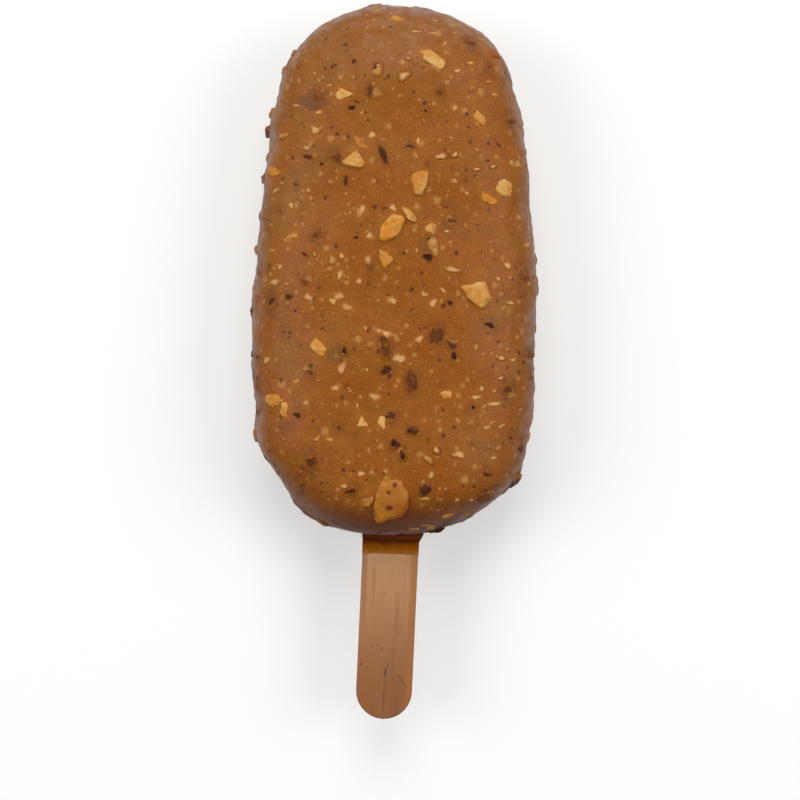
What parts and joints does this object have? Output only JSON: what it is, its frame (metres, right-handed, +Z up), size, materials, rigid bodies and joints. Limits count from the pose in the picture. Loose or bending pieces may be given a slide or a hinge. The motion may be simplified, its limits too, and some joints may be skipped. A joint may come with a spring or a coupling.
{
  "type": "ice cream bar",
  "caption": "Ice cream bar with a caramel-coloured coating full of chopped nuts and dark flakes, on a flat round-ended wooden stick, lying on its back.",
  "frame": {"origin": "middle of the small flat spot on the bar's back, which the bar rests on", "axes": "+Y along the bar towards its rounded tip, away from the stick; +X to the right of the shown face; +Z up, out of the shown face"},
  "size_m": [0.0518, 0.1282, 0.0248],
  "materials": {
    "coating": "satin caramel-coloured coating, slightly frosted, with pale nut crumbs and dark specks",
    "wood": "raw birch with fine grain along the stick",
    "nut": "chopped roasted nut, cream to orange",
    "dark_flake": "dark brown flake of nut skin or dark chocolate",
    "caramel": "thin amber film run down the stick"
  },
  "bodies": {
    "root": {"bar": "coating", "stick": "wood"}
  },
  "joints": []
}
